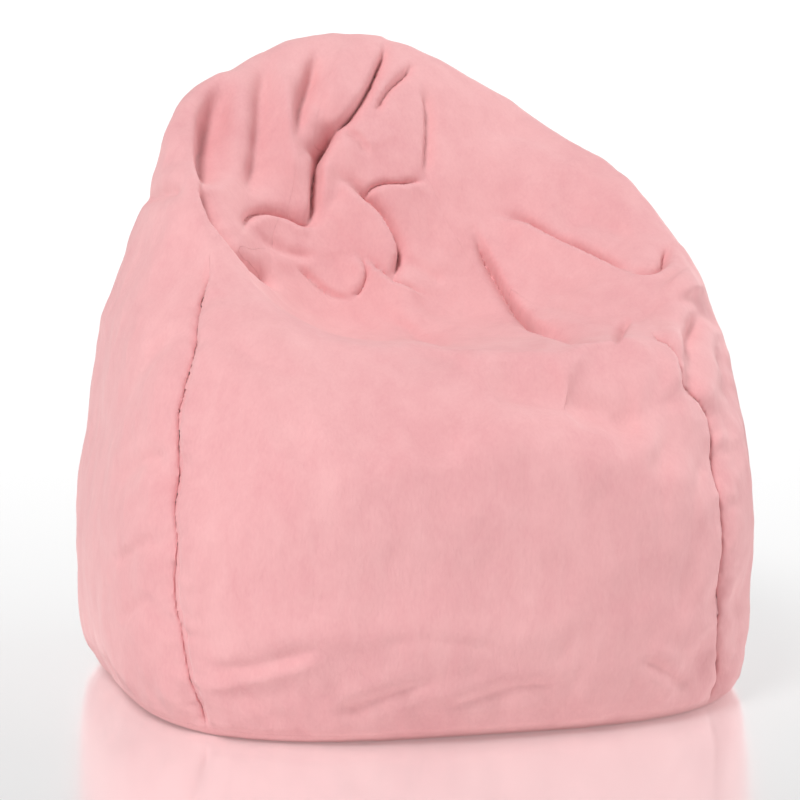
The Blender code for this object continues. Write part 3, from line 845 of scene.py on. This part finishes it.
def plush_material():
    """Polyester plush, knitted and sheared short: a soft matt pile that is paler where it is
    brushed up, deeper where it is brushed down, and that glows at grazing angles."""
    made, tree, shader = new_material(
        "sheared_polyester_plush", "DCA1A4", 0.95, Sheen_Weight=0.38, Sheen_Roughness=0.5,
        Sheen_Tint=colour("FBE6E4"), Specular_IOR_Level=0.1,
    )
    place = add(tree, "ShaderNodeTexCoord").outputs["Object"]
    # hand-sized clouds, then brush strokes a finger wide, then tufts of 2 to 3 mm
    clouds = add(tree, "ShaderNodeTexNoise", [(place, "Vector")], Scale=7.0, Detail=4.0,
                 Roughness=0.6, Distortion=0.6)
    upright = add(tree, "ShaderNodeMapping", [(place, "Vector")], Scale=(1.0, 1.0, 0.4))
    strokes = add(tree, "ShaderNodeTexNoise", [(upright.outputs[0], "Vector")], Scale=38.0,
                  Detail=4.0, Roughness=0.6, Distortion=0.4)
    tufts = add(tree, "ShaderNodeTexNoise", [(upright.outputs[0], "Vector")], Scale=330.0,
                Detail=2.0)
    clouded, brushed, tufted = (
        blended(tree, add(tree, "ShaderNodeMapRange", [(noises.outputs[0], "Value")],
                          From_Min=0.5 - half, From_Max=0.5 + half).outputs[0], deep, pale)
        for noises, half, deep, pale in (
            (clouds, 0.14, "DD9DA1", "E9B1B2"), (strokes, 0.18, "DFA0A3", "EAB2B3"),
            (tufts, 0.2, "DC9EA1", "E8AFB0"),
        )
    )
    pile = blended(tree, None, clouded, brushed, share=0.5)
    coloured = blended(tree, None, pile, tufted, share=0.25)
    fibre = add(tree, "ShaderNodeBump", [(tufts.outputs[0], "Height")], Strength=0.25,
                Distance=1.0 * MM)
    nap = add(tree, "ShaderNodeBump",
              [(strokes.outputs[0], "Height"), (fibre.outputs[0], "Normal")],
              Strength=0.35, Distance=4.0 * MM)
    wired(tree, shader, Base_Color=coloured, Normal=nap.outputs[0])
    return made


def woven_material(name, base, thread, roughness=0.85, strength=0.4, sheen=0.1):
    """A plain weave: two crossed sets of threads, this far apart in metres."""
    made, tree, shader = new_material(name, base, roughness, Sheen_Weight=sheen)
    place = add(tree, "ShaderNodeTexCoord").outputs["Object"]
    waves = [
        add(tree, "ShaderNodeTexWave", [(place, "Vector")], wave_type="BANDS", bands_direction=axis,
            Scale=math.pi / (10 * thread), Distortion=0.5, Detail=1.0)
        for axis in ("X", "Z")
    ]
    over = add(tree, "ShaderNodeMath", [(waves[0].outputs["Fac"], 0), (waves[1].outputs["Fac"], 1)],
               operation="MULTIPLY")
    bump = add(tree, "ShaderNodeBump", [(over.outputs[0], "Height")], Strength=strength,
               Distance=thread / 3)
    wired(tree, shader, Normal=bump.outputs[0],
          Base_Color=blended(tree, over.outputs[0], darker(base), base))
    return made


def darker(code, share=0.88):
    """The same sRGB hex colour, a shade darker."""
    return "".join(f"{round(int(code[i : i + 2], 16) * share):02X}" for i in (0, 2, 4))


def liner_material():
    """Woven polyester lining: thin, smooth and tightly woven, with a slight silkiness."""
    return woven_material("woven_polyester_lining", "F2F0EC", 0.6 * MM, roughness=0.6, strength=0.3)


def bead_material():
    """Expanded polystyrene beads of 3 to 5 mm, seen as a mass: white, matt and cobbled."""
    made, tree, shader = new_material("expanded_polystyrene_beads", "FAFAF8", 0.8)
    place = add(tree, "ShaderNodeTexCoord").outputs["Object"]
    cells = add(tree, "ShaderNodeTexVoronoi", [(place, "Vector")], Scale=1 / (4 * MM))
    bump = add(tree, "ShaderNodeBump", [(cells.outputs["Distance"], "Height")], Strength=0.8,
               Distance=2 * MM, invert=True)
    wired(tree, shader, Normal=bump.outputs[0])
    return made


def nylon_material(name, base):
    """Drawn nylon thread, dyed through: smooth and a little translucent, so softly glossy."""
    made, tree, shader = new_material(name, base, 0.38, IOR=1.53)
    place = add(tree, "ShaderNodeTexCoord").outputs["Object"]
    streaks = add(tree, "ShaderNodeTexNoise", [(place, "Vector")], Scale=900.0, Detail=2.0)
    wired(tree, shader, Base_Color=blended(tree, streaks.outputs[0], darker(base, 0.94), base))
    return made


def enamel_material():
    """Zinc cast, tumbled and stove enamelled: a hard even gloss with a faint ripple, scuffed
    lighter in fine patches where it is handled."""
    made, tree, shader = new_material("enamelled_zinc", "D98E93", 0.3, Coat_Weight=0.5,
                                      Coat_Roughness=0.12)
    place = add(tree, "ShaderNodeTexCoord").outputs["Object"]
    ripple = add(tree, "ShaderNodeTexNoise", [(place, "Vector")], Scale=450.0, Detail=2.0)
    scuffs = add(tree, "ShaderNodeTexNoise", [(place, "Vector")], Scale=160.0, Detail=4.0)
    worn = add(tree, "ShaderNodeMapRange", [(scuffs.outputs[0], "Value")], From_Min=0.55,
               From_Max=0.75, To_Min=0.27, To_Max=0.5)
    bump = add(tree, "ShaderNodeBump", [(ripple.outputs[0], "Height")], Strength=0.15,
               Distance=0.1 * MM)
    wired(tree, shader, Roughness=worn.outputs[0], Normal=bump.outputs[0],
          Base_Color=blended(tree, scuffs.outputs[0], "D58A8F", "DD959A"))
    return made


def thread_material(name, base):
    """Spun polyester sewing thread: two plies twisted, seen as slanting ribs."""
    made, tree, shader = new_material(name, base, 0.7, Sheen_Weight=0.2)
    place = add(tree, "ShaderNodeTexCoord").outputs["Object"]
    twist = add(tree, "ShaderNodeTexWave", [(place, "Vector")], bands_direction="DIAGONAL",
                Scale=math.pi / (10 * 0.5 * MM))
    bump = add(tree, "ShaderNodeBump", [(twist.outputs["Fac"], "Height")], Strength=0.6,
               Distance=0.15 * MM)
    wired(tree, shader, Normal=bump.outputs[0],
          Base_Color=blended(tree, twist.outputs["Fac"], darker(base, 0.9), base))
    return made


def satin_material():
    """Polyester satin ribbon: long floats of fine thread give a silky face, with cut selvedges."""
    made, tree, shader = new_material("polyester_satin", "F7F4EF", 0.42, Sheen_Weight=0.25)
    place = add(tree, "ShaderNodeTexCoord").outputs["Object"]
    floats = add(tree, "ShaderNodeTexWave", [(place, "Vector")], bands_direction="X",
                 Scale=math.pi / (10 * 0.5 * MM), Distortion=1.5, Detail=2.0)
    bump = add(tree, "ShaderNodeBump", [(floats.outputs["Fac"], "Height")], Strength=0.25,
               Distance=0.1 * MM)
    wired(tree, shader, Normal=bump.outputs[0],
          Base_Color=blended(tree, floats.outputs["Fac"], "EFEBE4", "F9F7F3"))
    return made


def floor_material():
    """Silvered board under white lacquer, lit a little from below: a soft mirror under the bag."""
    made, _, _ = new_material(
        "lacquered_white_board", "FBFBFB", 0.22, Metallic=0.7, Specular_IOR_Level=0.8,
        Coat_Weight=0.6, Coat_Roughness=0.14, Coat_IOR=1.9, Emission_Color=colour("FFFFFF"),
        Emission_Strength=0.15,
    )
    return made


# ---- stage


def camera():
    """The eye, with the bag a little left of and below the middle of the view."""
    lens = bpy.data.cameras.new("eye")
    made = placed("eye", lens)
    made.location = EYE
    made.rotation_mode = "QUATERNION"
    made.rotation_quaternion = (-TOWARDS_EYE).to_track_quat("-Z", "Y")
    lens.sensor_width = 36
    lens.lens = lens.sensor_width * EYE_DISTANCE / VIEW_WIDTH
    lens.shift_x, lens.shift_y = VIEW_SHIFT
    bpy.context.scene.camera = made


def sun(name, azimuth, elevation, strength, softness):
    """A soft lamp from this direction, in degrees; azimuth 0 is in front, plus is to the right."""
    data = bpy.data.lights.new(name, "SUN")
    data.energy = strength
    data.angle = math.radians(softness)
    made = placed(name, data)
    a, e = math.radians(azimuth), math.radians(elevation)
    source = Vector((math.sin(a) * math.cos(e), -math.cos(a) * math.cos(e), math.sin(e)))
    made.rotation_mode = "QUATERNION"
    made.rotation_quaternion = source.to_track_quat("Z", "Y")


def studio():
    """A pale floor, a white surround and two soft lamps."""
    mesh = bmesh.new()
    bmesh.ops.create_grid(mesh, x_segments=1, y_segments=1, size=FLOOR_HALF)
    floor = as_object("floor", mesh)
    floor.data.materials.append(floor_material())
    world = bpy.data.worlds.new("white surround")
    bpy.context.scene.world = world
    world.use_nodes = True
    tree = world.node_tree
    direction = add(tree, "ShaderNodeTexCoord").outputs["Generated"]
    height = add(tree, "ShaderNodeSeparateXYZ", [(direction, "Vector")]).outputs["Z"]
    above = add(tree, "ShaderNodeMapRange", [(height, "Value")], From_Min=0.16, From_Max=0.36,
                To_Min=1.12, To_Max=0.26)
    tree.links.new(above.outputs[0], tree.nodes["Background"].inputs["Strength"])
    tree.nodes["Background"].inputs["Color"].default_value = (1, 1, 1, 1)
    sun("key lamp", -48, 56, 2.25, 18)
    sun("fill lamp", 95, 22, 1.3, 50)
    bpy.context.scene.view_settings.view_transform = "Standard"


# ---- making


def inner_pieces(lining, cloth, beads):
    """The liner's four panels, and the beads in it."""
    for name, start, end in PANELS:
        dressed(side_panel(f"liner_{name}_cloth", lining, start, end), cloth,
                f"liner_{name}_panel")
    dressed(base_panel("liner_base_cloth", lining), cloth, "liner_base_panel")
    for _ in range(4):
        inwards = normals_of(lining) * (BEADS_INSIDE - LINER_INSIDE) / 4
        put_points(lining, relaxed(points_of(lining) - inwards, edges_of(lining), 0.3, 1))
    lining.name = "bead_fill"
    dressed(lining, beads, "bead_filling")


def dressed(piece, finish, node):
    """A padded piece of the bag, in its finish, in place of its solid."""
    smooth_shaded(piece)
    piece.data.materials.clear()
    piece.data.materials.append(finish)
    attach(piece, "bag")
    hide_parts(node)


def cover_pieces(whole, plush):
    """The four panels of the plush cover."""
    for name, start, end in PANELS:
        panel = side_panel(f"plush_{name}_panel", whole, start, end)
        dressed(panel, plush, f"cover_{name}_panel")
    dressed(base_panel("plush_base_panel", whole), plush, "cover_base_panel")


# ---- zip and label


def coil(name, node, hand, finish, slot):
    """One side of a coil zip: a nylon thread wound along the tape's edge, clear of its partner."""
    low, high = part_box(node)
    centre = (low + high) / 2
    half_wide, half_deep = (high.x - low.x) / 2 - COIL_WIRE, (high.y - low.y) / 2 - COIL_WIRE
    turns = round((high.z - low.z - 2 * COIL_WIRE) / COIL_PITCH)
    data = bpy.data.curves.new(name, "CURVE")
    data.dimensions = "3D"
    data.bevel_depth = COIL_WIRE
    data.bevel_resolution = 1
    spline = data.splines.new("POLY")
    steps = turns * COIL_STEPS + 1
    spline.points.add(steps - 1)
    for i, point in enumerate(spline.points):
        turn = 2 * math.pi * i / COIL_STEPS * hand
        z = low.z + COIL_WIRE + (high.z - low.z - 2 * COIL_WIRE) * i / (steps - 1)
        x, y = centre.x + half_wide * math.cos(turn), centre.y + half_deep * math.sin(turn)
        point.co = (x, y, z, 1)
    made = placed(name, data)
    fitted(made, finish, "bag", slot, node)


def fitted(piece, finish, body, slot, *nodes):
    """A piece in its finish, riding on its body in place of these solids."""
    piece.data.materials.clear()
    piece.data.materials.append(finish)
    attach(piece, body)
    if nodes:
        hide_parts(*nodes)


def cast_part(name, node, body, edge, finish, slot):
    """A die-cast part on its solid's shape, with its edges rounded as they leave the tumbler."""
    made = placed(name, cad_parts[node].data.copy())
    mesh = bmesh.new()
    mesh.from_mesh(made.data)
    bmesh.ops.remove_doubles(mesh, verts=mesh.verts, dist=0.001 * MM)
    bmesh.ops.dissolve_limit(mesh, angle_limit=math.radians(1), verts=mesh.verts, edges=mesh.edges)
    mesh.to_mesh(made.data)
    mesh.free()
    rounded = made.modifiers.new("rounded edges", "BEVEL")
    rounded.width = edge
    rounded.segments = 3
    rounded.limit_method = "ANGLE"
    rounded.angle_limit = math.radians(40)
    rounded.use_clamp_overlap = True
    bake_modifiers(made)
    smooth_shaded(made, 45)
    fitted(made, finish, body, slot, node)


def stitch(mesh, start, end):
    """One stitch of thread lying on the cloth, with both ends pulled into it."""
    along = (end - start).normalized()
    side = along.cross(Vector((0, 1, 0))).normalized()
    out = side.cross(along)
    rings = []
    for share, rise, thick in STITCH_ARCH:
        middle = start.lerp(end, share) + Vector((0, 1, 0)) * STITCH_RADIUS * rise
        rings.append([
            mesh.verts.new(
                middle + (side * math.cos(a) + out * math.sin(a)) * STITCH_RADIUS * thick
            )
            for a in (math.pi / 3 * i for i in range(6))
        ])
    for near, far in zip(rings, rings[1:]):
        for i in range(6):
            mesh.faces.new((near[i], near[(i + 1) % 6], far[(i + 1) % 6], far[i]))
    mesh.faces.new(reversed(rings[0]))
    mesh.faces.new(rings[-1])


def topstitching(finish):
    """The two rows that hold the zip in the back seam, and the bar tack at each end."""
    mesh = bmesh.new()
    low, high = ZIP_LOW - SLOT_OVER, ZIP_HIGH + SLOT_OVER
    for x in (ZIP_X - STITCH_ASIDE, ZIP_X + STITCH_ASIDE):
        for z in np.arange(low, high, STITCH_PITCH).tolist():
            stitch(mesh, Vector((x, ZIP_Y, z)), Vector((x, ZIP_Y, z + 0.7 * STITCH_PITCH)))
    for z in (low - 3 * MM, high + 3 * MM):
        for x in np.arange(ZIP_X - STITCH_ASIDE, ZIP_X + STITCH_ASIDE - MM, STITCH_PITCH).tolist():
            stitch(mesh, Vector((x, ZIP_Y, z)), Vector((x + 0.7 * STITCH_PITCH, ZIP_Y, z)))
    bmesh.ops.recalc_face_normals(mesh, faces=mesh.faces)
    made = as_object("zip_topstitching", mesh)
    smooth_shaded(made)
    fitted(made, finish, "bag", "pink_tape")


def care_label(finish, thread):
    """A woven satin label sewn at its top edge, which curls a little away from the plush."""
    low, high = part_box("cover_care_label")
    wide, tall = high.x - low.x, high.z - low.z
    columns, rows = 24, 30
    mesh = bmesh.new()
    grid = []
    for j in range(rows + 1):
        down = j / rows
        line = []
        for i in range(columns + 1):
            across = i / columns - 0.5
            curl = 3.2 * MM * down**2 + 1.2 * MM * down * math.sin(5 * across + 0.6)
            line.append(mesh.verts.new((
                low.x + wide * (across + 0.5), low.y + 0.15 * MM + curl, high.z - tall * down,
            )))
        grid.append(line)
    for upper, lower in zip(grid, grid[1:]):
        for i in range(columns):
            mesh.faces.new((upper[i], upper[i + 1], lower[i + 1], lower[i]))
    bmesh.ops.recalc_face_normals(mesh, faces=mesh.faces)
    label = as_object("satin_care_label", mesh)
    thick = label.modifiers.new("cloth thickness", "SOLIDIFY")
    thick.thickness = 0.35 * MM
    thick.offset = 0
    bake_modifiers(label)
    smooth_shaded(label)
    fitted(label, finish, "bag", "label", "cover_care_label")
    sewing = bmesh.new()
    for x in np.arange(low.x + 2 * MM, high.x - 3 * MM, 3 * MM).tolist():
        start = Vector((x, low.y + 0.4 * MM, high.z - 3 * MM))
        stitch(sewing, start, start + Vector((2.1 * MM, 0, 0)))
    bmesh.ops.recalc_face_normals(sewing, faces=sewing.faces)
    row = as_object("label_stitching", sewing)
    smooth_shaded(row)
    fitted(row, thread, "bag", "label")


def zips_and_label():
    """Every part of both zips, and the label over the outer one."""
    tape = woven_material("woven_polyester_tape", "E09CA0", 0.9 * MM)
    nylon = nylon_material("dyed_nylon_coil", "DC9498")
    enamel = enamel_material()
    white_tape = woven_material("white_polyester_tape", "F2F0EC", 0.9 * MM)
    white_nylon = nylon_material("natural_nylon_coil", "EDEBE6")
    for side, hand in (("left", 1), ("right", -1)):
        coil(f"wound_coil_{side}", f"cover_zip_coil_{side}", hand, nylon, "pink_coil")
        coil(f"wound_white_coil_{side}", f"liner_zip_coil_{side}", hand, white_nylon, "white_coil")
        painted(f"cover_zip_tape_{side}", tape)
        painted(f"liner_zip_tape_{side}", white_tape)
    for end in ("top", "bottom"):
        painted(f"cover_zip_{end}_stop", nylon)
        painted(f"liner_zip_{end}_stop", white_nylon)
    cast_part("cast_slider", "cover_zip_slider", "cover_slider", 0.25 * MM, enamel, "pink_enamel")
    cast_part("cast_pull", "cover_zip_pull", "cover_pull", 0.25 * MM, enamel, "pink_enamel")
    cast_part("moulded_white_slider", "liner_zip_slider", "liner_slider", 0.2 * MM, white_nylon,
              "white_coil")
    topstitching(thread_material("spun_polyester_thread", "DE979B"))
    care_label(satin_material(), thread_material("white_polyester_thread", "F4F1EC"))


def painted(node, finish):
    """Gives a solid that stays its real finish."""
    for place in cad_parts[node].material_slots:
        place.material = finish


plush = plush_material()
camera()
studio()
bag, lining = sewn_bag()
inner_pieces(lining, liner_material(), bead_material())
cover_pieces(bag, plush)
zips_and_label()
bpy.data.objects.remove(bag)
